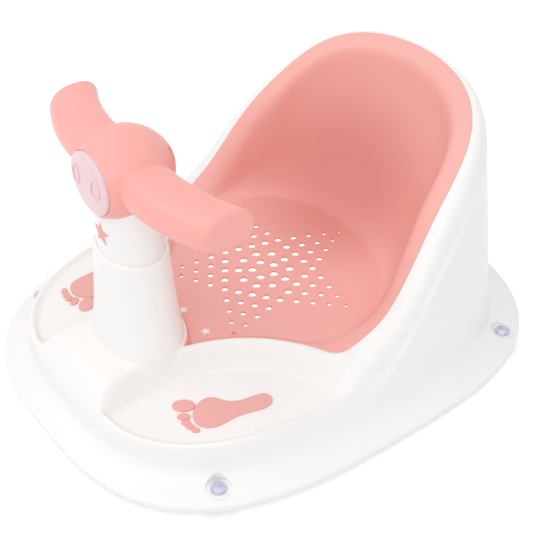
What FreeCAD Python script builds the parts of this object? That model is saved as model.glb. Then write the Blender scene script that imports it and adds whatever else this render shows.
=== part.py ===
import FreeCAD, Part
import math
import os

# Baby bath seat: a white moulded base with a bucket seat, a soft pink liner, a handle on a post,
# two foot dishes with footprint pads, and four suction cups.
# Millimetres, +Z up, +Y towards the backrest, the floor at Z = 0 under the suction cups.

Vector = FreeCAD.Vector
UP = Vector(0, 0, 1)

# Flange: the outline of the whole seat from above, two half ellipses of a raised power
flange_half_width = 167.5
flange_front = 204.5
flange_rear = 204.5
widest_y = 20.0
flange_power = 2.95
flange_bottom = 6.0
flange_lip = 5.5
flange_wall = 2.8

# Outer wall of the seat, measured at its foot
apron_width_side = 22.0
apron_width_corner = 26.0
apron_width_front = 20.0
apron_width_rear = 22.0
wall_power = 2.8
wall_power_front = 3.0
wall_foot_z = 25.0
side_draft = 0.155
rear_draft = 0.075
front_draft = 0.02
shell_wall = 3.0

# Seat rim: half of it, from the middle of the backrest to the front corner, as seen where pink meets white
rim_stations = [
    (0.0, 163.6, 205.4),
    (24.4, 161.2, 204.9),
    (64.3, 147.0, 199.2),
    (86.6, 128.6, 187.8),
    (101.5, 99.7, 165.0),
    (108.8, 74.2, 142.2),
    (113.7, 55.3, 119.4),
    (116.8, 36.8, 95.0),
    (117.6, 15.4, 76.0),
    (116.4, -3.2, 67.4),
    (110.6, -18.2, 65.0),
]
thigh_edge_z = 65.0
thigh_arc_radius = 119.5
thigh_arc_inner_x = 35.5
thigh_arc_x = thigh_arc_inner_x + thigh_arc_radius
thigh_arc_y = -129.8
rim_lip = 2.6
rim_centre_y = 40.0

# Seat floor and bucket
floor_z = 62.4
floor_slope = 0.0265
floor_half_width = 88.0
floor_rear = 84.0
rolled_edge = 14.0
rolled_drop = 0.35
floor_margin = 7.5
floor_margin_post = 2.6
liner_thickness = 2.0
liner_gap = 0.2

# Star of drain holes
star_pitch = 11.4
star_centre_y = 1.7
hole_diameter_middle = 6.7
hole_diameter_tip = 3.4
shell_hole_clearance = 0.6
dimple_depth = 1.0
window_radius = 4.6
window_spacing = 30.6
window_y = -76.4
star_waist = 0.48
star_tip_reach = 2.47
inner_ring = 0.835
outer_ring = 1.79

# Foot dishes
dish_floor_z = 41.0
dish_arc_radius = 114.0
dish_arc_inner_x = 42.5
dish_arc_x = dish_arc_inner_x + dish_arc_radius
dish_arc_y = -138.5
dish_blend_post = 6.5
dish_blend_thigh = 11.0
dish_outer_blend = 4.5
ridge_width = 3.0
ridge_z = 45.0
ridge_round = 4.0
ridge_density = 2.4
hump_z = 64.0
hump_round = 26.0

# Footprint pads
pad_height = 1.5
pad_gap = 0.05
pad_round = 0.8
fit_clearance = 0.15
sole_points = [(80.5, -122.8), (74.4, -114.7), (73.6, -105.4), (78.0, -99.9), (83.9, -96.2), (88.9, -90.0),
               (91.5, -81.2), (93.3, -72.8), (96.4, -67.9), (101.3, -66.9), (105.5, -69.9), (107.0, -75.8),
               (105.1, -84.5), (102.3, -94.4), (101.5, -104.4), (101.2, -114.0), (98.4, -121.4),
               (93.0, -125.1), (86.4, -125.6)]
toes = [((69.7, -123.6), 8.4, 5.9), ((78.9, -129.6), 4.9, 3.2), ((84.8, -131.4), 3.6, 2.6),
        ((89.9, -131.1), 3.3, 2.4), ((94.8, -129.9), 3.1, 2.3)]
toe_direction = 53.0

# Post, all oval: wider in X than in Y
post_y = -116.9
post_oval = 0.79
socket_top_z = 145.6
socket_half_width = 32.2
socket_round = 1.4
post_foot_half_width = 41.8
post_undercut = 3.6
post_bottom_z = 30.0
post_wall = 3.0
socket_shelf_z = 85.0
socket_shelf_thickness = 3.0

# Collar
collar_half_width = 28.2
collar_clearance = 0.15
collar_wall = 2.6
collar_top_z = 198.0
badge_z = 165.0
badge_radius = 9.3
badge_thickness = 1.4
badge_proud = 0.5

# Handle
hub_z = 208.0
hub_radius = 32.6
hub_middle_y = -113.0
hub_front_y = -142.2
hub_rear_y = -79.5
hub_roundness = 1.8
hub_brow = 1.2
handle_wall = 2.6
arm_reach = 100.0
arm_sweep = 18.8
arm_sweep_power = 3.1
arm_root_y = -117.0
arm_root_z = 211.5
arm_half_depth = 20.2
arm_half_height = 15.2
arm_drop = 2.9
arm_end_round = 4.0
arm_start_x = 12.0
arm_squareness = 0.85
tongue_thickness = 3.0
tongue_top_z = 224.0
parting_gap = 0.04

# Nose disc
nose_radius = 23.3
nose_z = 209.0
nose_depth = 1.6
nose_edge = 2.2
nose_dome = 2.6
nose_clearance = 0.3
nostril_x = 12.5
nostril_rise = 3.0
nostril_half_width = 5.3
nostril_half_height = 8.0
nostril_stroke = 1.4
nostril_height = 0.8

# Suction cups, placed in from the flange's sides and ends
cup_front_side = 37.9
cup_front_end = 69.1
cup_rear_side = 33.9
cup_rear_end = 61.0
cup_front_x = flange_half_width - cup_front_side
cup_front_y = cup_front_end - flange_front
cup_rear_x = flange_half_width - cup_rear_side
cup_rear_y = flange_rear - cup_rear_end
cup_radius = 17.0
cup_rim_width = 3.0
cup_stem_radius = 3.4
cup_hole_clearance = 0.25
cup_head_radius = 6.0
cup_head_height = 3.2
cup_neck_radius = 5.6
boss_radius = 9.5
boss_top_z = 14.4
boss_thickness = 4.0
boss_recess = 0.6

# Screws
screw_radius = 1.5
screw_head_radius = 3.0
screw_head_height = 2.2
screw_length = 24.0
boss_outer_radius = 4.2
sleeve_radius = 4.7
arm_screw_x = 62.0
hub_screw_x = 14.0
hub_screw_rise = 12.0
collar_screw_radius = 2.5
collar_screw_length = 22.0
washer_radius = 9.0
washer_thickness = 1.5

# Grid of the moulded skins
rim_curve_columns = 30
thigh_columns = 14
post_columns = 12
wall_rows = 34
oval_columns = 32


def smooth_step(value):
    value = min(1.0, max(0.0, value))
    return value * value * (3.0 - 2.0 * value)


def mix(first, second, share):
    return first + (second - first) * share


def plan_reach(direction, half_width, front, rear, power):
    """Distance from the rim centre to a superellipse outline along a plan direction."""
    near, far = 0.0, 400.0
    for _ in range(48):
        middle = 0.5 * (near + far)
        x = direction.x * middle
        y = rim_centre_y + direction.y * middle - widest_y
        depth = front + widest_y if y < 0 else rear - widest_y
        if (abs(x) / half_width) ** power + (abs(y) / depth) ** power < 1.0:
            near = middle
        else:
            far = middle
    return near


def wall_reach(direction, z):
    """Distance from the rim centre to the outer wall at a height."""
    rise = z - wall_foot_z
    front = front_share(direction)
    apron_side = mix(apron_width_side, apron_width_corner, front)
    return plan_reach(direction,
                      flange_half_width - apron_side - side_draft * rise,
                      flange_front - apron_width_front - front_draft * rise,
                      flange_rear - apron_width_rear - rear_draft * rise,
                      mix(wall_power, wall_power_front, front))


def flange_reach(direction):
    return plan_reach(direction, flange_half_width, flange_front, flange_rear, flange_power)


def rim_loop():
    """The closed seat rim as evenly spread points, from the backrest's middle round by +X and back."""
    side = Part.BSplineCurve()
    side.interpolate(Points=[Vector(*station) for station in rim_stations],
                     InitialTangent=Vector(1, 0, 0), FinalTangent=Vector(-0.55, -0.83, 0))
    half = side.discretize(Number=rim_curve_columns + 1)
    start = math.atan2(half[-1].y - thigh_arc_y, half[-1].x - thigh_arc_x)
    end = math.pi - math.asin((post_meeting_y() - thigh_arc_y) / thigh_arc_radius)
    for step in range(1, thigh_columns + 1):
        angle = mix(start, end, step / thigh_columns)
        blend = math.hypot(half[rim_curve_columns].x - thigh_arc_x, half[rim_curve_columns].y - thigh_arc_y)
        radius = mix(blend, thigh_arc_radius, smooth_step(step / 4.0))
        half.append(Vector(thigh_arc_x + radius * math.cos(angle), thigh_arc_y + radius * math.sin(angle),
                           thigh_edge_z))
    corner = half[-1]
    first = math.asin((corner.y - post_y) / (rim_post_half_width() * post_oval))
    for step in range(1, post_columns + 1):
        angle = mix(first, math.pi / 2, step / post_columns)
        half.append(Vector(rim_post_half_width() * math.cos(angle),
                           post_y + rim_post_half_width() * post_oval * math.sin(angle), thigh_edge_z))
    mirrored = [Vector(-point.x, point.y, point.z) for point in reversed(half[1:-1])]
    return half + mirrored


def rim_post_half_width():
    return post_foot_half_width + 0.8


def post_meeting_y():
    """Y where the thigh arc meets the oval foot of the post."""
    near, far = post_y, post_y + 40.0
    for _ in range(40):
        middle = 0.5 * (near + far)
        x = thigh_arc_x - math.sqrt(thigh_arc_radius ** 2 - (middle - thigh_arc_y) ** 2)
        half = rim_post_half_width()
        if (x / half) ** 2 + ((middle - post_y) / (half * post_oval)) ** 2 < 1.0:
            near = middle
        else:
            far = middle
    return near


def radial(point):
    """Direction and distance of a point from the seat's upright centre line, seen from above."""
    across = Vector(point.x, point.y - rim_centre_y, 0)
    distance = across.Length
    return across.normalize(), distance


def poles(directions, grid):
    """Points of a grid whose columns of reach and height stand on directions from the centre line."""
    columns = []
    for direction, column in zip(directions, grid):
        columns.append([Vector(direction.x * reach, rim_centre_y + direction.y * reach, z)
                        for reach, z in column])
    return columns


def facing(loop, directions):
    """How squarely each direction crosses the loop: 1 where it is at right angles to it."""
    count = len(loop)
    shares = []
    for index in range(count):
        along = loop[(index + 1) % count] - loop[index - 1]
        along.z = 0.0
        along.normalize()
        shares.append(max(0.5, math.sqrt(max(0.0, 1.0 - along.dot(directions[index]) ** 2))))
    return shares


def dish_wall_share(x, y):
    """Where a plan point lies on a dish's inner wall: 0 at its top, 1 at its foot, unclamped."""
    blend = mix(dish_blend_post, dish_blend_thigh, smooth_step((abs(x) - 35.0) / 25.0))
    from_arc = dish_arc_radius - math.hypot(abs(x) - dish_arc_x, y - dish_arc_y)
    return (from_arc + blend) / blend


def dish_share(x, y, distance_to_wall):
    """How much of the dish is scooped out at a plan point, from 0 to 1."""
    outer = smooth_step((distance_to_wall - ridge_width) / dish_outer_blend)
    return smooth_step(dish_wall_share(x, y)) * outer


def front_share(direction):
    """1 in front of the seat, where the foot dishes are, and 0 beside and behind it."""
    angle = math.degrees(math.asin(direction.y))
    return smooth_step((-8.0 - angle) / 37.0)


def hump_share(direction):
    """1 straight in front of the post, 0 where the foot dishes' outer ridges run."""
    return smooth_step((-direction.y - 0.955) / 0.035)


def top_section(start, edge_z, direction):
    """Points from the white lip over the shoulder and down to the wall's foot, in one upright plane.

    Each point is a reach, a height and a weight: rows lie closer together where the weight is high."""
    front = front_share(direction)
    hump = hump_share(direction)
    crest = mix(edge_z, mix(ridge_z, hump_z, hump), front)
    reach = wall_reach(direction, crest)
    gap = reach - start
    round_across = mix(gap, mix(ridge_round, hump_round, hump), front)
    round_down = mix(1.5 * gap, mix(ridge_round, hump_round, hump), front)
    dense = mix(1.0, ridge_density, front)
    points = []
    flat = gap - round_across
    steps = 40
    for step in range(steps):
        share = step / steps
        drop = (edge_z - crest) * share ** 1.3
        across = start + flat * share
        wall = dish_wall_share(direction.x * across, rim_centre_y + direction.y * across)
        curved = flat * (1.0 - share) < ridge_width + dish_outer_blend or -0.4 < wall < 1.4
        points.append((across, edge_z - drop, dense if curved else 1.0))
    for step in range(steps):
        turn = 0.5 * math.pi * step / steps
        points.append((start + flat + round_across * math.sin(turn),
                       crest - round_down * (1 - math.cos(turn)), dense))
    low = crest - round_down
    for step in range(steps + 1):
        z = mix(low, wall_foot_z, step / steps)
        points.append((wall_reach(direction, z), z, 1.0))
    return soften(resample(points, wall_rows, mix(1.75, 1.0, front)), 2.0 * front * (1.0 - front))


def resample(points, rows, power):
    """Spread rows along a polyline, closer together near its start when the power is above 1."""
    lengths = [0.0]
    for first, second in zip(points, points[1:]):
        lengths.append(lengths[-1] + math.dist(first[:2], second[:2]) * first[2])
    result = []
    index = 0
    for row in range(rows + 1):
        target = lengths[-1] * (row / rows) ** power
        while index < len(lengths) - 2 and lengths[index + 1] < target:
            index += 1
        span = lengths[index + 1] - lengths[index]
        share = (target - lengths[index]) / span if span > 1e-9 else 0.0
        result.append((mix(points[index][0], points[index + 1][0], share),
                       mix(points[index][1], points[index + 1][1], share)))
    return result


def soften(rows, weight):
    """Draw each row of a section towards the middle of its neighbours, so that no crease is left."""
    for _ in range(12):
        inner = [(mix(here[0], 0.5 * (before[0] + after[0]), weight),
                  mix(here[1], 0.5 * (before[1] + after[1]), weight))
                 for before, here, after in zip(rows, rows[1:], rows[2:])]
        rows = rows[:1] + inner + rows[-1:]
    return rows


def unfold(column, low):
    """Even out the rows of an offset section that run backwards, as they do inside a tight curve."""
    for _ in range(80):
        folded = False
        for row in range(1, len(low) - 6):
            along = (column[row + 1][0] - column[row - 1][0], column[row + 1][1] - column[row - 1][1])
            least = 0.08 * (along[0] ** 2 + along[1] ** 2)
            for near, far in ((low[row - 1], low[row]), (low[row], low[row + 1])):
                if along[0] * (far[0] - near[0]) + along[1] * (far[1] - near[1]) < least:
                    low[row] = tuple(0.5 * (low[row - 1][axis] + low[row + 1][axis]) for axis in (0, 1))
                    folded = True
        if not folded:
            break


def outer_grid(rim):
    """Rows of the white skin from the lip's inner edge out to the flange's lower edge."""
    directions = [radial(point)[0] for point in rim]
    grid = []
    for point, direction, square in zip(rim, directions, facing(rim, directions)):
        start = radial(point)[1]
        lip = rim_lip / square
        wall = wall_reach(direction, ridge_z)
        column = [(start, point.z), (start + 0.5 * lip, point.z)]
        for reach, z in top_section(start + lip, point.z, direction):
            x, y = direction.x * reach, rim_centre_y + direction.y * reach
            share = dish_share(x, y, wall - reach) if z > dish_floor_z - 1.0 else 0.0
            share *= front_share(direction) ** 0.5
            column.append((reach, mix(z, dish_floor_z, share)))
        foot = wall_reach(direction, wall_foot_z)
        edge = flange_reach(direction)
        top = flange_bottom + flange_lip
        column.extend([(foot + 2.5, wall_foot_z - 5.0), (foot + 7.0, wall_foot_z - 8.6),
                       (mix(foot, edge, 0.6), top + 3.2), (edge - 4.0, top + 1.0), (edge - 1.0, top + 0.2),
                       (edge, top - 0.8), (edge, mix(flange_bottom, top, 0.4)), (edge, flange_bottom)])
        grid.append(column)
    return directions, grid


def outer_underside(directions, grid):
    """The skin's inner side: one wall thickness in, ending in a level flange edge."""
    under = shift_grid(directions, grid, shell_wall, -1.0)
    recess = liner_thickness + liner_gap + shell_wall
    top = flange_bottom + flange_lip
    for column, low in zip(grid, under):
        edge = column[-1][0]
        low[0] = (column[0][0], column[0][1] - recess)
        low[1] = (low[1][0], min(low[1][1], low[0][1] + 0.6 * (recess - shell_wall)))
        low[-5:] = [(edge - 7.0, top + 1.2 - flange_wall), (edge - 4.6, top + 0.4 - flange_wall),
                    (edge - flange_wall, top - 0.6 - flange_wall),
                    (edge - flange_wall, mix(flange_bottom, top, 0.3)), (edge - flange_wall, flange_bottom)]
        unfold(column, low)
    return under


def floor_height(y):
    return floor_z + floor_slope * y


def bucket_grid(rim):
    """Rows of the seat's visible skin from the rim down to the edge of its flat floor."""
    directions = [radial(point)[0] for point in rim]
    grid = []
    for point, direction, square in zip(rim, directions, facing(rim, directions)):
        start = radial(point)[1]
        behind_post = smooth_step((-direction.y - 0.955) / 0.03)
        margin = mix(mix(floor_margin / square, floor_margin_post, behind_post), 24.0,
                     smooth_step((point.z - thigh_edge_z) / 20.0))
        floor = min(plan_reach(direction, floor_half_width, -post_y + 20.0, floor_rear, 2.3), start - margin)
        base = floor_height(rim_centre_y + direction.y * floor)
        across, depth = start - floor, point.z - base
        tall = smooth_step((depth - 4.0) / 60.0)
        edge = min(rolled_edge, 0.3 * across)
        lip_drop = min(rolled_drop * edge, 0.25 * depth)
        wall_top = edge + mix(0.2 * across, 5.0, tall)
        bottom = mix(0.3, 0.42, tall) * across
        slope = across - bottom
        profile = [(0.0, 0.0), (0.5 * edge, 0.35 * lip_drop), (edge, lip_drop),
                   (mix(edge, wall_top, 0.6), mix(0.34 * depth, lip_drop + 0.07 * depth, tall)),
                   (wall_top, mix(0.5, 0.2, tall) * depth),
                   (mix(wall_top, slope, 0.33), mix(0.64, 0.38, tall) * depth),
                   (mix(wall_top, slope, 0.66), mix(0.77, 0.56, tall) * depth),
                   (mix(wall_top, slope, 0.95), mix(0.88, 0.72, tall) * depth),
                   (slope + 0.25 * bottom, mix(0.95, 0.86, tall) * depth),
                   (slope + 0.5 * bottom, mix(0.98, 0.945, tall) * depth),
                   (slope + 0.75 * bottom, mix(0.995, 0.987, tall) * depth),
                   (slope + 0.9 * bottom, depth), (across, depth)]
        grid.append([(start - run, point.z - drop) for run, drop in profile])
    return directions, grid


def lowered_bucket(directions, grid, inset, lower):
    """The bucket's skin moved out and down by a distance, and in from the rim by another."""
    low_grid = shift_grid(directions, grid, lower, 1.0) if lower else [list(column) for column in grid]
    for column, low in zip(grid, low_grid):
        low[0] = (column[0][0] - inset, column[0][1] - lower)
        for row in range(1, len(low)):
            low[row] = (min(low[row][0], low[row - 1][0]), min(low[row][1], low[row - 1][1]))
        floor = column[-1][1] - lower
        low[-1] = (column[-1][0], floor)
        for row in range(1, len(low)):
            low[row] = (max(low[row][0], column[-1][0]), max(low[row][1], floor))
    return low_grid


def shift_grid(directions, grid, distance, side):
    """Offset a skin within the upright planes of its columns, so that columns never cross."""
    columns = poles(directions, grid)
    count = len(columns)
    result = []
    for index in range(count):
        before, after = columns[index - 1], columns[(index + 1) % count]
        rows = len(columns[index])
        column = []
        for row in range(rows):
            along = after[row] - before[row]
            across = columns[index][min(row + 1, rows - 1)] - columns[index][max(row - 1, 0)]
            normal = along.cross(across)
            normal = normal.normalize() if normal.Length > 1e-9 else -UP * side
            outwards, upwards = normal.dot(directions[index]), normal.z
            share = side * distance / max(0.35, outwards ** 2 + upwards ** 2)
            reach, z = grid[index][row]
            column.append((reach + share * outwards, z + share * upwards))
        result.append(column)
    return result


def skin_surface(columns):
    """Cubic surface over a grid of poles, closed round the columns."""
    count, rows = len(columns), len(columns[0])
    surface = Part.BSplineSurface()
    row_knots = [float(value) for value in range(rows - 2)]
    surface.buildFromPolesMultsKnots(columns, [1] * (count + 1), [4] + [1] * (rows - 4) + [4],
                                     [float(value) for value in range(count + 1)], row_knots,
                                     True, False, 3, 3)
    return surface


def loop_edge(surface, last):
    """Boundary edge of a skin: its first or its last row."""
    first_row, last_row = surface.bounds()[2], surface.bounds()[3]
    return surface.vIso(last_row if last else first_row).toShape()


def cap(edge, openings=()):
    """Flat face inside a closed edge, with openings left in it."""
    wires = [Part.Wire([edge])] + list(openings)
    return Part.makeFace(Part.makeCompound(wires), "Part::FaceMakerBullseye")


def closed_solid(faces):
    shell = Part.makeShell(faces)
    shell.sewShape()
    solid = Part.makeSolid(Part.Shell(shell.Faces))
    if solid.Volume < 0:
        solid.reverse()
    return solid


def oval(half_x, half_y, z, centre_y, columns):
    """Poles of a level oval. They lie outside it, so that the cubic curve has the right size."""
    swell = 3.0 / (2.0 + math.cos(2.0 * math.pi / columns))
    return [Vector(swell * half_x * math.cos(2.0 * math.pi * step / columns),
                   centre_y + swell * half_y * math.sin(2.0 * math.pi * step / columns), z)
            for step in range(columns)]


def oval_solid(profile, centre_y, ratio):
    """Solid of level ovals from pairs of half width and height, straight-sided where the rows say so."""
    loops = [oval(half, half * ratio, z, centre_y, oval_columns) for half, z in profile]
    columns = [[loop[index] for loop in loops] for index in range(oval_columns)]
    surface = skin_surface(columns)
    return closed_solid([surface.toShape(), cap(loop_edge(surface, False)), cap(loop_edge(surface, True))])


def straight_oval(half, low, high, centre_y, ratio):
    """Upright oval cylinder."""
    profile = [(half, mix(low, high, share / 4.0)) for share in range(5)]
    return oval_solid(profile, centre_y, ratio)


def post_profile(offset):
    """Half widths and heights of the lower post. It is widest at the seat, where it meets the skin."""
    foot = post_foot_half_width
    top = socket_half_width
    return [(foot - post_undercut - offset, post_bottom_z), (foot - 0.75 * post_undercut - offset, 42.0),
            (foot - 0.35 * post_undercut - offset, 54.0), (foot - offset, thigh_edge_z),
            (mix(foot, top, 0.42) - offset, 80.0),
            (mix(foot, top, 0.66) - offset, 100.0), (mix(foot, top, 0.86) - offset, 122.0),
            (mix(foot, top, 0.97) - offset, socket_top_z - 8.0), (top - offset, socket_top_z - 1.6),
            (top - 0.3 - offset, socket_top_z - 0.4), (top - socket_round - offset, socket_top_z)]


def star_points(outer, inner, turn):
    points = []
    for step in range(10):
        radius = outer if step % 2 == 0 else inner
        angle = math.radians(turn + 36.0 * step)
        points.append((radius * math.sin(angle), radius * math.cos(angle)))
    return points


def star_holes():
    """Centres and sizes of the drain holes: a five-pointed star, with two blind tips beside the post."""
    apothem = 2.0 / math.tan(math.radians(36.0))
    row_step = apothem * (star_tip_reach - 1.0) / 4.0
    holes = []
    for ring, count in ((inner_ring, 5), (outer_ring, 10)):
        for step in range(count):
            angle = math.radians(360.0 / count * step)
            holes.append((ring * math.sin(angle), ring * math.cos(angle)))
    for arm in range(5):
        tip = math.radians(72.0 * arm)
        for row in range(5):
            across_count = 4 if row == 0 else 5 - row
            out = apothem + row_step * row
            for step in range(across_count):
                across = step - 0.5 * (across_count - 1)
                if row == 0:
                    across = step - 2.0
                holes.append((out * math.sin(tip) + across * math.cos(tip),
                              out * math.cos(tip) - across * math.sin(tip)))
    return holes


def hole_radius(x, y):
    """Holes get smaller towards the star's tips."""
    share = smooth_step((math.hypot(x, y) - 1.0) / 6.0)
    return 0.5 * mix(hole_diameter_middle, hole_diameter_tip, share)


def is_blind(x, y):
    return y < -4.5 and math.hypot(x, y) > 6.3


def floor_wire(x, y, height, points):
    """Closed outline on the sloping floor or parallel to it: a polygon, or a circle for a single radius."""
    tilt = FreeCAD.Rotation(Vector(1, 0, 0), math.degrees(math.atan(floor_slope)))
    if isinstance(points, float):
        wire = Part.Wire([Part.makeCircle(points, Vector(0, 0, 0), UP)])
    else:
        wire = Part.makePolygon([Vector(px, py, 0) for px, py in points + points[:1]])
    wire.Placement = FreeCAD.Placement(Vector(x, y, floor_height(y) + height), tilt)
    return wire


def floor_shaft(x, y, top, bottom, points):
    """Side faces between two outlines above each other, square to the floor, and those two outlines."""
    upper = floor_wire(x, y, top, points)
    square = Vector(0, -floor_slope, 1).normalize()
    down = square * ((bottom - top) * square.z)
    lower = upper.copy()
    lower.translate(down)
    return upper, upper.extrude(down).Faces, lower


def through_holes():
    return [(x * star_pitch, y * star_pitch + star_centre_y, hole_radius(x, y))
            for x, y in star_holes() if not is_blind(x, y)]


def dimples():
    return [(x * star_pitch, y * star_pitch + star_centre_y, hole_radius(x, y))
            for x, y in star_holes() if is_blind(x, y)]


def window_places():
    return [(-window_spacing, window_y), (0.0, window_y), (window_spacing, window_y)]


def make_liner():
    """The soft pink liner with its drain holes, blind dimples and star windows."""
    directions, grid = bucket_grid(rim_loop())
    top = skin_surface(poles(directions, lowered_bucket(directions, grid, liner_gap, 0.0)))
    bottom = skin_surface(poles(directions, lowered_bucket(directions, grid, liner_gap, liner_thickness)))
    faces = [top.toShape(), bottom.toShape(),
             Part.makeRuledSurface(loop_edge(top, False), loop_edge(bottom, False))]
    upper_openings, lower_openings = [], []
    shafts = [(x, y, radius) for x, y, radius in through_holes()]
    window = star_points(window_radius, window_radius * star_waist, 0.0)
    shafts += [(x, y, window) for x, y in window_places()]
    for x, y, outline in shafts:
        upper, sides, lower = floor_shaft(x, y, 0.0, -liner_thickness, outline)
        upper_openings.append(upper)
        lower_openings.append(lower)
        faces.extend(sides)
    for x, y, radius in dimples():
        upper, sides, lower = floor_shaft(x, y, 0.0, -dimple_depth, radius)
        upper_openings.append(upper)
        faces.extend(sides)
        faces.append(Part.Face(lower))
    faces.append(cap(loop_edge(top, True), upper_openings))
    faces.append(cap(loop_edge(bottom, True), lower_openings))
    return closed_solid(faces)


def make_base_skin():
    """The white sheet: flange, apron, dishes, outer walls and lip, then the bucket under the liner."""
    rim = rim_loop()
    directions, outer = outer_grid(rim)
    top = skin_surface(poles(directions, outer))
    bottom = skin_surface(poles(directions, outer_underside(directions, outer)))
    bucket = bucket_grid(rim)[1]
    recess = liner_thickness + liner_gap
    seat_top = skin_surface(poles(directions, lowered_bucket(directions, bucket, 0.0, recess)))
    lower = lowered_bucket(directions, bucket, 0.0, recess + shell_wall)
    seat_bottom = skin_surface(poles(directions, lower))
    faces = [top.toShape(), bottom.toShape(), seat_top.toShape(), seat_bottom.toShape(),
             Part.makeRuledSurface(loop_edge(top, True), loop_edge(bottom, True)),
             Part.makeRuledSurface(loop_edge(top, False), loop_edge(seat_top, False))]
    upper_openings, lower_openings = [], []
    for x, y, radius in through_holes():
        upper, sides, lower = floor_shaft(x, y, -recess, -recess - shell_wall, radius + shell_hole_clearance)
        upper_openings.append(upper)
        lower_openings.append(lower)
        faces.extend(sides)
    inner_radius = window_radius - fit_clearance
    for x, y in window_places():
        outline = star_points(inner_radius, inner_radius * star_waist, 0.0)
        upper, sides, lower = floor_shaft(x, y, 0.0, -recess, outline)
        upper_openings.append(lower)
        faces.extend(sides)
        faces.append(Part.Face(upper))
    faces.append(cap(loop_edge(seat_top, True), upper_openings))
    faces.append(cap(loop_edge(seat_bottom, True), lower_openings))
    return closed_solid(faces)


def cup_places():
    return {"front_left": (-cup_front_x, cup_front_y), "front_right": (cup_front_x, cup_front_y),
            "rear_left": (-cup_rear_x, cup_rear_y), "rear_right": (cup_rear_x, cup_rear_y)}


def round_solid(profile, place, axis=UP):
    """Turned solid from pairs of radius and height, closed along its axis."""
    points = [Vector(radius, 0, height) for radius, height in profile]
    points = [Vector(0, 0, profile[0][1])] + points + [Vector(0, 0, profile[-1][1])]
    clean = [points[0]]
    for point in points[1:]:
        if (point - clean[-1]).Length > 1e-6:
            clean.append(point)
    wire = Part.makePolygon(clean + clean[:1])
    solid = Part.Face(wire).revolve(Vector(0, 0, 0), UP, 360)
    turn = FreeCAD.Rotation(UP, axis)
    solid.Placement = FreeCAD.Placement(place, turn)
    if solid.Volume < 0:
        solid.reverse()
    return solid


def dish_pad_outline():
    sole = Part.BSplineCurve()
    sole.interpolate(Points=[Vector(x, y, 0) for x, y in sole_points], PeriodicFlag=True)
    outlines = [Part.Wire([sole.toShape()])]
    angle = math.radians(toe_direction)
    for (x, y), long_half, short_half in toes:
        toe = Part.Ellipse(Vector(0, 0, 0), long_half, short_half).toShape()
        toe.Placement = FreeCAD.Placement(Vector(x, y, 0), FreeCAD.Rotation(UP, math.degrees(angle)))
        outlines.append(Part.Wire([toe]))
    return outlines


def pad_prisms(side):
    """The six footprint shapes as upright prisms, on the left (-1) or the right (1) of the post."""
    shapes = []
    for wire in dish_pad_outline():
        solid = Part.Face(wire).extrude(Vector(0, 0, pad_height))
        solid.translate(Vector(0, 0, dish_floor_z + pad_gap))
        if side < 0:
            solid = solid.mirror(Vector(0, 0, 0), Vector(1, 0, 0))
        shapes.append(solid)
    return shapes


def make_base():
    """The white moulding with its post, socket and cup seats."""
    post = oval_solid(post_profile(0.0), post_y, post_oval)
    inside = oval_solid(post_profile(post_wall), post_y, post_oval)
    below = straight_oval(post_foot_half_width - post_undercut - post_wall, 0.0, post_bottom_z + 0.5,
                          post_y, post_oval)
    tube = straight_oval(socket_half_width - socket_round, socket_shelf_z - socket_shelf_thickness,
                         socket_top_z - 0.2, post_y, post_oval)
    bore = straight_oval(collar_half_width + collar_clearance, socket_shelf_z, socket_top_z + 5.0,
                         post_y, post_oval)
    shelf_hole = Part.makeCylinder(collar_screw_radius + 0.4, 20.0,
                                   Vector(0, post_y, socket_shelf_z - 10.0), UP)
    added, removed = [post], [inside, below]
    for x, y in cup_places().values():
        boss_bottom_z = boss_top_z - boss_thickness
        added.append(Part.makeCylinder(boss_radius, boss_thickness, Vector(x, y, boss_bottom_z), UP))
        removed.append(Part.makeCylinder(boss_radius, 12.0, Vector(x, y, boss_top_z), UP))
        removed.append(Part.makeCylinder(cup_stem_radius + cup_hole_clearance, 30.0, Vector(x, y, 0), UP))
        removed.append(Part.makeCylinder(cup_neck_radius + boss_recess, boss_bottom_z, Vector(x, y, 0), UP))
    base = make_base_skin().fuse(added).cut(removed)
    return base.fuse(tube).cut([bore, shelf_hole])


def make_footprint(side):
    rounded = []
    for pad in pad_prisms(side):
        top = [edge for edge in pad.Edges if edge.BoundBox.ZMin > dish_floor_z + 0.9 * pad_height]
        rounded.append(pad.makeFillet(pad_round, top))
    return Part.makeCompound(rounded)


def collar_oval(offset, low, high):
    return straight_oval(collar_half_width - offset, low, high, post_y, post_oval)


def badge_prism(grow):
    """The star's outline run through the front of the collar."""
    radius = badge_radius + grow
    points = star_points(radius, radius * 0.46, 0.0)
    front = post_y - collar_half_width * post_oval - 4.0
    wire = Part.makePolygon([Vector(x, front, badge_z + z) for x, z in points + points[:1]])
    return Part.Face(wire).extrude(Vector(0, 12.0, 0))


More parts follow.
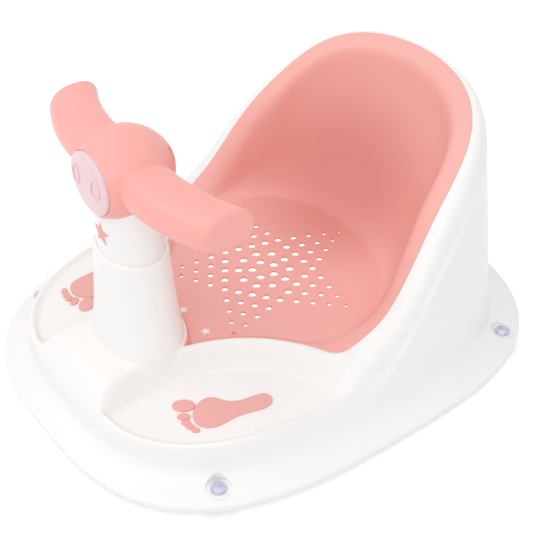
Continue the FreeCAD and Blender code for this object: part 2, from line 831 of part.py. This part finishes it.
def make_collar():
    """White upper post: an oval tube with a floor, a closed top and a tongue for the handle's screws."""
    bottom = socket_shelf_z
    collar = collar_oval(0.0, bottom, collar_top_z)
    collar = collar.cut(collar_oval(collar_wall, bottom + 4.0, collar_top_z - collar_wall))
    pilot = Part.makeCylinder(collar_screw_radius - 0.35, 12.0, Vector(0, post_y, bottom - 1.0), UP)
    screw_boss = Part.makeCylinder(collar_screw_radius + 2.5, 16.0, Vector(0, post_y, bottom + 2.0), UP)
    deep_pilot = Part.makeCylinder(collar_screw_radius - 0.35, 19.0, Vector(0, post_y, bottom - 1.0), UP)
    tongue = Part.makeBox(2 * hub_screw_x + 16.0, tongue_thickness, tongue_top_z - collar_top_z + 1.0,
                          Vector(-hub_screw_x - 8.0, arm_root_y - 0.5 * tongue_thickness, collar_top_z - 1.0))
    collar = collar.fuse([screw_boss, tongue]).cut([pilot, deep_pilot])
    for x in (-hub_screw_x, hub_screw_x):
        collar = collar.cut(Part.makeCylinder(sleeve_radius + 0.3, 30.0,
                                              Vector(x, arm_root_y - 15.0, hub_z + hub_screw_rise),
                                              Vector(0, 1, 0)))
    recess = badge_prism(fit_clearance).cut(collar_oval(badge_thickness - badge_proud, bottom, collar_top_z))
    return collar.cut(recess)


def make_badge():
    outside = collar_oval(-badge_proud, badge_z - 20.0, badge_z + 20.0)
    inside = collar_oval(badge_thickness - badge_proud - 0.05, badge_z - 21.0, badge_z + 21.0)
    return badge_prism(0.0).common(outside).cut(inside)


def arm_centre(x):
    """Centre line of the handle's arms."""
    share = abs(x) / arm_reach
    return Vector(x, arm_root_y + arm_sweep * share ** arm_sweep_power, arm_root_z - arm_drop * share)


def arm_loop(x, side, inset):
    """One oval section of an arm in the plane across X, as poles."""
    centre = arm_centre(x)
    swell = 3.0 / (2.0 + math.cos(2.0 * math.pi / oval_columns))
    points = []
    for step in range(oval_columns):
        angle = 2.0 * math.pi * step / oval_columns
        c, s = math.cos(angle), math.sin(angle)
        c = math.copysign(abs(c) ** arm_squareness, c)
        s = math.copysign(abs(s) ** arm_squareness, s)
        points.append(Vector(side * x, centre.y + swell * (arm_half_depth - inset) * c,
                             centre.z + swell * (arm_half_height - inset) * s))
    return points


def make_arm(side, inset):
    """One arm of the handle, from inside the hub to its rounded flat end."""
    radius = max(1.0, arm_end_round - inset)
    reach = arm_reach - inset
    end = reach - radius
    loops = [arm_loop(mix(arm_start_x, end, step / 12.0), side, inset) for step in range(13)]
    for step in range(1, 7):
        angle = math.pi / 2 * step / 6.0
        loops.append(arm_loop(end + radius * math.sin(angle), side, inset + radius * (1 - math.cos(angle))))
    columns = [[loop[index] for loop in loops] for index in range(oval_columns)]
    surface = skin_surface(columns)
    return closed_solid([surface.toShape(), cap(loop_edge(surface, False)), cap(loop_edge(surface, True))])


def smooth_edge(points):
    """Cubic curve that starts and ends on its first and last pole, as an edge."""
    curve = Part.BSplineCurve()
    inner = len(points) - 4
    knots = [float(value) for value in range(inner + 2)]
    curve.buildFromPolesMultsKnots(points, [4] + [1] * inner + [4], knots, False, 3)
    return curve.toShape()


def turned_solid(profile, z):
    """Solid turned about a line along Y: a flat front, then a smooth side that closes on the axis."""
    points = [Vector(radius, y, z) for radius, y in profile]
    start, end = Vector(0, profile[0][1], z), points[-1]
    wire = Part.Wire([Part.makeLine(start, points[0]), smooth_edge(points), Part.makeLine(end, start)])
    solid = Part.Face(wire).revolve(Vector(0, 0, z), Vector(0, 1, 0), 360)
    if solid.Volume < 0:
        solid.reverse()
    return solid


def make_hub(inset):
    """The round middle of the handle: fullest in its middle, cut flat where the nose sits."""
    radius = hub_radius - inset
    rear = hub_rear_y - inset - hub_middle_y
    brow = nose_radius + hub_brow - inset
    share = 1.0 - (brow / radius) ** hub_roundness
    front = (hub_middle_y - hub_front_y - inset) / share ** (1.0 / hub_roundness)
    start = hub_front_y + inset
    profile = [(brow, start)]
    for step in range(1, 20):
        y = mix(start, hub_middle_y + rear, math.sin(0.5 * math.pi * step / 20.0))
        length = rear if y > hub_middle_y else front
        across = (1.0 - min(1.0, abs(y - hub_middle_y) / length) ** hub_roundness) ** (1.0 / hub_roundness)
        profile.append((radius * across, y))
    profile[-1] = (profile[-1][0], hub_middle_y + rear)
    profile.append((0.0, hub_middle_y + rear))
    return turned_solid(profile, hub_z)


def front_region(shift):
    """Everything in front of the handle's parting surface, which follows the arms' centre line."""
    points = [arm_centre(x) for x in [-arm_reach - 20.0 + step * (2 * arm_reach + 40.0) / 16.0
                                      for step in range(17)]]
    curve = Part.BSplineCurve()
    curve.interpolate(Points=[Vector(point.x, point.y + shift, 0) for point in points])
    start, end = curve.StartPoint, curve.EndPoint
    front = hub_front_y - 2.0 * hub_radius
    corners = [end, Vector(end.x, front, 0), Vector(start.x, front, 0), start]
    wire = Part.Wire([curve.toShape()] + Part.makePolygon(corners).Edges)
    region = Part.Face(wire).extrude(Vector(0, 0, 6.0 * hub_radius))
    region.translate(Vector(0, 0, hub_z - 3.0 * hub_radius))
    return region


def screw_spots():
    """Where the handle's screws run, along Y: two in the arms and two in the hub."""
    spots = []
    for side in (-1, 1):
        arm = arm_centre(side * arm_screw_x)
        spots.append((arm.x, arm.z, arm.y + arm_half_depth - 7.0, arm.y - arm_half_depth + 1.5))
        spots.append((side * hub_screw_x, hub_z + hub_screw_rise, hub_rear_y - 14.0,
                      hub_front_y + nose_depth + 0.6))
    return spots


def make_handle():
    """The two halves of the handle, hollow, with screw bosses and a seat for the collar."""
    outer = make_hub(0.0).fuse([make_arm(-1, 0.0), make_arm(1, 0.0)])
    inner = make_hub(handle_wall).fuse([make_arm(-1, handle_wall), make_arm(1, handle_wall)])
    below = hub_z - 2.0 * hub_radius
    pocket = collar_oval(-collar_clearance, below, collar_top_z + collar_clearance)
    lining = collar_oval(-collar_clearance - 2.0, below, collar_top_z + collar_clearance + 2.0)
    slot = Part.makeBox(2 * hub_screw_x + 17.0, tongue_thickness + 0.6, tongue_top_z + 1.0 - collar_top_z,
                        Vector(-hub_screw_x - 8.5, arm_root_y - 0.5 * tongue_thickness - 0.3, collar_top_z))
    hollow = inner.cut(lining)
    shells = outer.cut(hollow).cut([pocket, slot])
    axis = Vector(0, 1, 0)
    front = shells.common(front_region(-0.5 * parting_gap))
    rear = shells.cut(front_region(0.5 * parting_gap))
    for x, z, seat, deep in screw_spots():
        parting = arm_centre(x).y
        reach = parting - 0.5 * parting_gap - deep
        pillar = Part.makeCylinder(boss_outer_radius, reach, Vector(x, deep, z), axis)
        tip = Vector(x, seat - screw_length - 1.0, z)
        pilot = Part.makeCylinder(screw_radius - 0.25, screw_length, tip, axis)
        front = front.fuse(pillar.common(outer)).cut(pilot)
        sleeve = Part.makeCylinder(sleeve_radius, 40.0, Vector(x, parting + 0.5 * parting_gap, z), axis)
        well = Part.makeCylinder(screw_head_radius + 0.4, 40.0, Vector(x, seat, z), axis)
        shank = Part.makeCylinder(screw_radius + 0.2, 60.0, Vector(x, parting - 1.0, z), axis)
        rear = rear.fuse(sleeve.common(outer)).cut([well, shank])
    nose_seat = Vector(0, hub_front_y + nose_depth, nose_z)
    plate = Part.makeCylinder(nose_radius + 3.0, handle_wall, nose_seat, axis)
    recess = Part.makeCylinder(nose_radius + nose_clearance, 20.0, nose_seat, -axis)
    return front.fuse(plate.common(outer)).cut([recess, pocket, slot]), rear


def make_screws():
    screws = []
    for x, z, seat, deep in screw_spots():
        core = screw_radius - 0.25
        profile = [(0.0, -screw_length), (screw_radius * 0.5, -screw_length), (core, -screw_length + 1.5),
                   (core, 0.0), (screw_head_radius, 0.0),
                   (screw_head_radius, 0.6 * screw_head_height), (screw_head_radius * 0.7, screw_head_height)]
        screws.append(round_solid(profile, Vector(x, seat, z), Vector(0, 1, 0)))
    return Part.makeCompound(screws)


def make_nose():
    """Pale disc on the hub's front, domed, with two raised oval rings."""
    back = hub_front_y + nose_depth - 0.1
    rim = hub_front_y - nose_edge
    radius = nose_radius
    crown = rim - nose_dome
    disc = turned_solid([(radius, -back), (radius, -0.5 * (back + rim)), (radius, -0.1 * back - 0.9 * rim),
                         (radius - 0.4, -rim + 0.3), (radius - 2.2, -rim + 0.35 * nose_dome),
                         (0.72 * radius, -rim + 0.72 * nose_dome), (0.4 * radius, -crown),
                         (0.0, -crown)], 0.0)
    disc = disc.mirror(Vector(0, 0, 0), Vector(0, 1, 0))
    disc.translate(Vector(0, 0, nose_z))
    cover = disc.copy()
    cover.translate(Vector(0, -nostril_height, 0))
    rings = []
    for side_x in (-nostril_x, nostril_x):
        centre = Vector(side_x, rim + 2.0, nose_z + nostril_rise)
        outer = oval_prism(centre, nostril_half_width, nostril_half_height)
        inner = oval_prism(centre, nostril_half_width - nostril_stroke, nostril_half_height - nostril_stroke)
        rings.append(outer.cut(inner).common(cover))
    return disc.fuse(rings)


def oval_prism(centre, half_width, half_height):
    """Oval column that runs forward, along -Y."""
    oval_edge = Part.Ellipse(Vector(0, 0, 0), half_height, half_width).toShape()
    upright = FreeCAD.Rotation(Vector(0, 0, 1), Vector(1, 0, 0), Vector(0, 1, 0))
    oval_edge.Placement = FreeCAD.Placement(centre, upright)
    return Part.Face(Part.Wire([oval_edge])).extrude(Vector(0, -12.0, 0))


def make_cup(x, y):
    """Soft suction cup with its stem and the stud head that shows on the flange."""
    shoulder = boss_top_z - boss_thickness - 0.15
    head = boss_top_z + 0.1
    outside = [(0.0, 0.0), (cup_radius - cup_rim_width, 0.0), (cup_radius, 0.0), (cup_radius, 0.9),
               (cup_radius - 1.6, 2.0), (cup_radius - 6.0, 3.6), (cup_radius - 11.0, 5.6), (6.4, 7.4),
               (cup_neck_radius, 8.4), (cup_neck_radius, shoulder),
               (cup_stem_radius, shoulder), (cup_stem_radius, head),
               (cup_head_radius, head), (cup_head_radius, head + 1.2), (cup_head_radius - 0.9, head + 2.4),
               (cup_head_radius - 2.4, head + cup_head_height)]
    cup = round_solid(outside, Vector(x, y, 0))
    hollow = [(cup_radius - cup_rim_width, -1.0), (cup_radius - cup_rim_width, 0.0), (cup_radius - 6.5, 1.7),
              (cup_radius - 11.0, 3.2), (5.0, 4.6), (2.0, 5.1)]
    return cup.cut(round_solid(hollow, Vector(x, y, 0)))


def make_collar_screw():
    head = socket_shelf_z - socket_shelf_thickness - washer_thickness - 0.2
    radius = collar_screw_radius - 0.35
    profile = [(4.0, -2.6), (4.6, -2.0), (4.6, 0.0), (radius, 0.0), (radius, collar_screw_length - 2.5),
               (radius * 0.4, collar_screw_length - 0.5)]
    return round_solid(profile, Vector(0, post_y, head))


def make_washer():
    low = socket_shelf_z - socket_shelf_thickness - washer_thickness - 0.1
    disc = Part.makeCylinder(washer_radius, washer_thickness, Vector(0, post_y, low), UP)
    return disc.cut(Part.makeCylinder(collar_screw_radius + 0.3, 6.0, Vector(0, post_y, low - 1.0), UP))


def export(shape, name):
    shape.exportStep("parts/" + name + ".step")
    print(name, "valid" if shape.isValid() else "NOT VALID", len(shape.Solids), "solids",
          round(shape.Volume / 1000.0, 1), "cm3")


os.makedirs("parts", exist_ok=True)
export(make_base(), "base_shell")
export(make_liner(), "seat_liner")
export(make_footprint(-1), "footprint_left")
export(make_footprint(1), "footprint_right")
export(make_collar(), "post_collar")
export(make_badge(), "star_badge")
handle_front, handle_rear = make_handle()
export(handle_front, "handle_front_shell")
export(handle_rear, "handle_rear_shell")
export(make_screws(), "handle_screws")
export(make_nose(), "nose_cap")
for place, (cup_x, cup_y) in cup_places().items():
    export(make_cup(cup_x, cup_y), "suction_cup_" + place)
export(make_collar_screw(), "collar_screw")
export(make_washer(), "collar_washer")
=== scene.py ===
import math

import bpy
from mathutils import Matrix, Vector

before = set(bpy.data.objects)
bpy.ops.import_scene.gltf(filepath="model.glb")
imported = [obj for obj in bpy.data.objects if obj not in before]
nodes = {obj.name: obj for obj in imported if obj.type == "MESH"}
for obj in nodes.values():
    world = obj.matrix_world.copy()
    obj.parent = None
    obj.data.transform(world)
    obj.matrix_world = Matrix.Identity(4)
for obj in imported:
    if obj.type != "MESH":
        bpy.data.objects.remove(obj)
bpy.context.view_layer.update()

MM = 0.001
WHITE = (1.0, 1.0, 1.0, 1.0)

# Star of drain holes in the seat's floor: the camera looks at its middle, and is placed in units of its pitch
star_centre = Vector((0.0, 1.7, 62.4)) * MM
star_pitch = 11.4 * MM

# Camera: where the photograph was taken from
camera_azimuth = math.radians(53.178)
camera_elevation = math.radians(39.689)
camera_distance = 84.424 * star_pitch
camera_shift_right = 0.1666 * star_pitch
camera_shift_up = 0.1708 * star_pitch
sensor_width = 36.0
photo_size = 533.0
photo_focal = 1200.0

# Light: levels at which a colour renders about as it is written. A lamp has a place, a size and a power
world_strength = 0.8
key_lamp = ((-0.6, -1.1, 1.9), 1.6, 7.4)
fill_lamp = ((1.2, -1.1, 1.6), 1.4, 7.8)
floor_half_size = 4.0
floor_grey = 0.82
floor_lift = 0.5

# Noise scales: flow of colour, patches of gloss and spark-eroded grain of a moulding, then vinyl and steel
flow_scale = 9.0
gloss_scale = 60.0
grain_scale = 2600.0
grain_depth = 0.0002
vinyl_mottle_scale = 320.0
vinyl_ripple_scale = 420.0
vinyl_ripple_depth = 0.0004
brushing_scale = 900.0

# Where a material changes on the object, and where light and shade are painted into its colour. A pair says
# where
# a share is 0 and where it is 1: in metres, or for painted_light_facing_up in the height of a surface normal
# of length 1
# Painted light: the liner turns paler where its surface faces up, standing in for light from above
painted_light_facing_up = (0.1, 0.95)
# Painted shade: the liner darkens towards this point low in the backrest
painted_shade_centre = (-0.024, 0.1, 0.098)
painted_shade_reach = (0.108, 0.02)
# Painted light: the white shell glows round the star of drain holes so that their walls look lit
painted_glow_reach = (0.081, 0.079)
painted_glow_limits = {"floor's underside": ("Z", (0.0555, 0.0575)), "floor's top": ("Z", (0.0625, 0.0612)),
                "star windows": ("Y", (-0.0712, -0.0704))}
painted_glow_colour = (1.0, 0.98, 0.97, 1.0)
stud_height = (0.0095, 0.0125)
skirt_share = 0.1
stud_share = 0.85

# Soft shading of the CAD nodes
weld_distance = 1e-6
crease_angle = math.radians(28.0)


def srgb(red, green, blue):
    """Colour written as 0 to 255, as the linear value that shaders take."""
    linear = []
    for channel in (red, green, blue):
        value = channel / 255.0
        linear.append(value / 12.92 if value <= 0.04045 else ((value + 0.055) / 1.055) ** 2.4)
    return (*linear, 1.0)


# Shader nodes
def link(tree, source, target):
    tree.links.new(source, target)


def object_place(tree):
    return tree.nodes.new("ShaderNodeTexCoord").outputs["Object"]


def noise(tree, scale, detail, place):
    node = tree.nodes.new("ShaderNodeTexNoise")
    node.inputs["Scale"].default_value = scale
    node.inputs["Detail"].default_value = detail
    node.inputs["Roughness"].default_value = 0.55
    link(tree, place, node.inputs["Vector"])
    return node.outputs["Fac"]


def ramp(tree, value, stops):
    node = tree.nodes.new("ShaderNodeValToRGB")
    link(tree, value, node.inputs["Fac"])
    for end, (position, colour) in zip(node.color_ramp.elements, stops):
        end.position = position
        end.color = srgb(*colour)
    return node.outputs["Color"]


def calculate(tree, operation, first, second):
    """Math on a socket and another socket or a number."""
    node = tree.nodes.new("ShaderNodeMath")
    node.operation = operation
    link(tree, first, node.inputs[0])
    if isinstance(second, float):
        node.inputs[1].default_value = second
    else:
        link(tree, second, node.inputs[1])
    return node.outputs[0]


def map_range(tree, value, limits, results, kind="LINEAR"):
    node = tree.nodes.new("ShaderNodeMapRange")
    node.interpolation_type = kind
    for name, number in zip(("From Min", "From Max", "To Min", "To Max"), (*limits, *results)):
        node.inputs[name].default_value = number
    link(tree, value, node.inputs["Value"])
    return node.outputs["Result"]


def within(tree, value, limits):
    """A soft share that runs from 0 where the value is at the first limit to 1 at the second."""
    return map_range(tree, value, limits, (0.0, 1.0), "SMOOTHSTEP")


def near_point(tree, place, point, reach):
    """A share that grows towards a point."""
    distance = tree.nodes.new("ShaderNodeVectorMath")
    distance.operation = "DISTANCE"
    distance.inputs[1].default_value = point
    link(tree, place, distance.inputs[0])
    return within(tree, distance.outputs["Value"], reach)


def split_axes(tree, vector):
    axes = tree.nodes.new("ShaderNodeSeparateXYZ")
    link(tree, vector, axes.inputs["Vector"])
    return axes.outputs


def blend_colour(tree, tint, colour, share):
    blend = tree.nodes.new("ShaderNodeMix")
    blend.data_type = "RGBA"
    link(tree, share, blend.inputs["Factor"])
    first, second = [socket for socket in blend.inputs if socket.type == "RGBA"]
    link(tree, tint, first)
    second.default_value = srgb(*colour)
    return [socket for socket in blend.outputs if socket.type == "RGBA"][0]


def add_bump(tree, shader, height, strength, depth):
    bump = tree.nodes.new("ShaderNodeBump")
    bump.inputs["Strength"].default_value = strength
    bump.inputs["Distance"].default_value = depth
    link(tree, height, bump.inputs["Height"])
    link(tree, bump.outputs["Normal"], shader.inputs["Normal"])


# Materials
def new_material(name):
    material = bpy.data.materials.new(name)
    material.use_nodes = True
    tree = material.node_tree
    return material, tree, tree.nodes["Principled BSDF"]


def moulded_plastic(name, colour, deeper, roughness, grain=0.05, painted_drain_glow=0.0, painted_top_light=None, painted_hollow_shade=None):
    """Injection-moulded plastic: faint variation in colour and gloss, and a fine spark-eroded grain. Optional
    painted light on top, painted shade in a hollow and a painted glow round drain holes.
    """
    material, tree, shader = new_material(name)
    place = object_place(tree)
    tint = ramp(tree, noise(tree, flow_scale, 2.0, place), [(0.3, deeper), (0.7, colour)])
    # Painted light: paler where the surface faces up
    if painted_top_light:
        tint = paint_light_on_top(tree, tint, painted_top_light)
    # Painted shade: darker low in the backrest
    if painted_hollow_shade:
        tint = paint_shade_in_hollow(tree, tint, place, painted_hollow_shade)
    link(tree, tint, shader.inputs["Base Color"])
    patches = noise(tree, gloss_scale, 3.0, place)
    gloss = map_range(tree, patches, (0.0, 1.0), (roughness - 0.04, roughness + 0.05))
    link(tree, gloss, shader.inputs["Roughness"])
    add_bump(tree, shader, noise(tree, grain_scale, 2.0, place), grain, grain_depth)
    # Painted light: a glow in the white floor round the drain holes
    if painted_drain_glow:
        paint_glow_in_drain_holes(tree, shader, place, painted_drain_glow)
    return material


def paint_light_on_top(tree, tint, painted_top_light):
    """Painted light: blend towards a paler colour where the surface faces up, as if lit from above."""
    normal = tree.nodes.new("ShaderNodeNewGeometry").outputs["Normal"]
    return blend_colour(tree, tint, painted_top_light, within(tree, split_axes(tree, normal)["Z"], painted_light_facing_up))


def paint_shade_in_hollow(tree, tint, place, colour):
    """Painted shade: blend towards a deeper colour low in the middle of the backrest, where the bucket shades
    itself.
    """
    return blend_colour(tree, tint, colour, near_point(tree, place, painted_shade_centre, painted_shade_reach))


def paint_glow_in_drain_holes(tree, shader, place, strength):
    """Painted light: emission that lights the thin white floor and the walls of its drain holes, round the
    star of holes.
    """
    plan = tree.nodes.new("ShaderNodeVectorMath")
    plan.operation = "MULTIPLY"
    plan.inputs[1].default_value = (1.0, 1.0, 0.0)
    link(tree, place, plan.inputs[0])
    share = near_point(tree, plan.outputs[0], (0.0, star_centre.y, 0.0), painted_glow_reach)
    axes = split_axes(tree, place)
    for axis, limits in painted_glow_limits.values():
        share = calculate(tree, "MULTIPLY", share, within(tree, axes[axis], limits))
    shader.inputs["Emission Color"].default_value = painted_glow_colour
    link(tree, calculate(tree, "MULTIPLY", share, strength), shader.inputs["Emission Strength"])


def clear_vinyl(name, colour, roughness):
    """Soft vinyl with a mottled surface: a bluish stud head above, a skirt below that is nearly clear."""
    material, tree, shader = new_material(name)
    place = object_place(tree)
    mottle = noise(tree, vinyl_mottle_scale, 2.0, place)
    tint = ramp(tree, mottle, [(0.35, colour), (0.65, (252, 252, 255))])
    link(tree, tint, shader.inputs["Base Color"])
    shader.inputs["Roughness"].default_value = roughness
    shader.inputs["IOR"].default_value = 1.42
    shader.inputs["Transmission Weight"].default_value = 0.3
    add_bump(tree, shader, noise(tree, vinyl_ripple_scale, 2.0, place), 0.25, vinyl_ripple_depth)
    share = map_range(tree, split_axes(tree, place)["Z"], stud_height, (skirt_share, stud_share))
    clear = tree.nodes.new("ShaderNodeBsdfTransparent")
    blend = tree.nodes.new("ShaderNodeMixShader")
    link(tree, share, blend.inputs[0])
    link(tree, clear.outputs[0], blend.inputs[1])
    link(tree, shader.outputs[0], blend.inputs[2])
    link(tree, blend.outputs[0], tree.nodes["Material Output"].inputs["Surface"])
    return material


def brushed_steel(name):
    material, tree, shader = new_material(name)
    brushing = noise(tree, brushing_scale, 3.0, object_place(tree))
    tint = ramp(tree, brushing, [(0.3, (176, 178, 182)), (0.7, (206, 207, 210))])
    link(tree, tint, shader.inputs["Base Color"])
    shader.inputs["Metallic"].default_value = 1.0
    shader.inputs["Roughness"].default_value = 0.32
    return material


materials = {
    # The white shell has a painted glow round its drain holes
    "white_shell": moulded_plastic("white_shell", (247, 246, 245), (246, 245, 243), 0.4, painted_drain_glow=0.62),
    # The liner has painted light where it faces up and painted shade low in the backrest
    "pink_liner": moulded_plastic("pink_liner", (240, 169, 161), (238, 166, 158), 0.5, grain=0.1,
                                  painted_top_light=(246, 181, 173), painted_hollow_shade=(220, 142, 136)),
    "pink_handle": moulded_plastic("pink_handle", (252, 176, 169), (250, 173, 166), 0.38),
    "pale_nose": moulded_plastic("pale_nose", (240, 208, 213), (238, 205, 210), 0.36),
    "pink_trim": moulded_plastic("pink_trim", (238, 176, 170), (236, 173, 166), 0.55, grain=0.12),
    "clear_cup": clear_vinyl("clear_cup", (206, 204, 246), 0.22),
    "steel": brushed_steel("steel"),
}

slot_of = {
    "base_shell": "white_shell", "post_collar": "white_shell", "seat_liner": "pink_liner",
    "handle_front_shell": "pink_handle", "handle_rear_shell": "pink_handle", "nose_cap": "pale_nose",
    "footprint_left": "pink_trim", "footprint_right": "pink_trim", "star_badge": "pink_trim",
    "suction_cup_front_left": "clear_cup", "suction_cup_front_right": "clear_cup",
    "suction_cup_rear_left": "clear_cup", "suction_cup_rear_right": "clear_cup",
    "handle_screws": "steel", "collar_screw": "steel", "collar_washer": "steel",
}


def dress_node(name):
    """Give a CAD node its material and soft shading with crisp creases."""
    node = nodes[name]
    node.data.materials.clear()
    node.data.materials.append(materials[slot_of[name]])
    for polygon in node.data.polygons:
        polygon.use_smooth = True
    node.modifiers.new("weld", "WELD").merge_threshold = weld_distance
    node.modifiers.new("crease", "EDGE_SPLIT").split_angle = crease_angle


# Floor, world, lamps and camera
def seen_in_view(tree):
    """1 for rays that show the background: seen directly, in a gloss or through something clear."""
    rays = tree.nodes.new("ShaderNodeLightPath").outputs
    seen = rays["Is Camera Ray"]
    for kind in ("Is Glossy Ray", "Is Transmission Ray"):
        seen = calculate(tree, "MAXIMUM", seen, rays[kind])
    return seen


def add_floor():
    half = floor_half_size
    mesh = bpy.data.meshes.new("floor")
    corners = [(-half, -half, 0), (half, -half, 0), (half, half, 0), (-half, half, 0)]
    mesh.from_pydata(corners, [], [(0, 1, 2, 3)])
    floor = bpy.data.objects.new("floor", mesh)
    bpy.context.scene.collection.objects.link(floor)
    material = bpy.data.materials.new("floor")
    material.use_nodes = True
    tree = material.node_tree
    tree.nodes.clear()
    output = tree.nodes.new("ShaderNodeOutputMaterial")
    matte = tree.nodes.new("ShaderNodeBsdfDiffuse")
    matte.inputs["Color"].default_value = (floor_grey, floor_grey, floor_grey, 1.0)
    lift = tree.nodes.new("ShaderNodeEmission")
    link(tree, calculate(tree, "MULTIPLY", seen_in_view(tree), floor_lift), lift.inputs["Strength"])
    both = tree.nodes.new("ShaderNodeAddShader")
    link(tree, matte.outputs[0], both.inputs[0])
    link(tree, lift.outputs[0], both.inputs[1])
    link(tree, both.outputs[0], output.inputs["Surface"])
    mesh.materials.append(material)


def add_world():
    """White where the background is seen, and a dimmer white that lights the object."""
    world = bpy.data.worlds.new("studio")
    bpy.context.scene.world = world
    world.use_nodes = True
    tree = world.node_tree
    tree.nodes.clear()
    choose = tree.nodes.new("ShaderNodeMixShader")
    link(tree, seen_in_view(tree), choose.inputs[0])
    for socket, strength in ((1, world_strength), (2, 1.0)):
        background = tree.nodes.new("ShaderNodeBackground")
        background.inputs["Color"].default_value = WHITE
        background.inputs["Strength"].default_value = strength
        link(tree, background.outputs[0], choose.inputs[socket])
    output = tree.nodes.new("ShaderNodeOutputWorld")
    link(tree, choose.outputs[0], output.inputs["Surface"])


def add_softbox(name, place, size, power):
    light = bpy.data.lights.new(name, "AREA")
    light.shape = "DISK"
    light.size = size
    light.energy = power
    lamp = bpy.data.objects.new(name, light)
    lamp.location = place
    lamp.rotation_mode = "QUATERNION"
    lamp.rotation_quaternion = (star_centre - Vector(place)).to_track_quat("-Z", "Y")
    bpy.context.scene.collection.objects.link(lamp)


def add_camera():
    back = Vector((math.sin(camera_azimuth) * math.cos(camera_elevation),
                   -math.cos(camera_azimuth) * math.cos(camera_elevation), math.sin(camera_elevation)))
    right = Vector((math.cos(camera_azimuth), math.sin(camera_azimuth), 0.0))
    up = back.cross(right)
    data = bpy.data.cameras.new("camera")
    data.sensor_width = sensor_width
    data.lens = sensor_width * photo_focal / photo_size
    data.clip_start = 0.01
    camera = bpy.data.objects.new("camera", data)
    place = star_centre + camera_distance * back + camera_shift_right * right + camera_shift_up * up
    turn = Matrix((right, up, back)).transposed().to_4x4()
    camera.matrix_world = Matrix.Translation(place) @ turn
    bpy.context.scene.collection.objects.link(camera)
    bpy.context.scene.camera = camera


for name in nodes:
    dress_node(name)
add_floor()
add_world()
add_softbox("key", *key_lamp)
add_softbox("fill", *fill_lamp)
add_camera()
bpy.context.scene.view_settings.view_transform = "Standard"
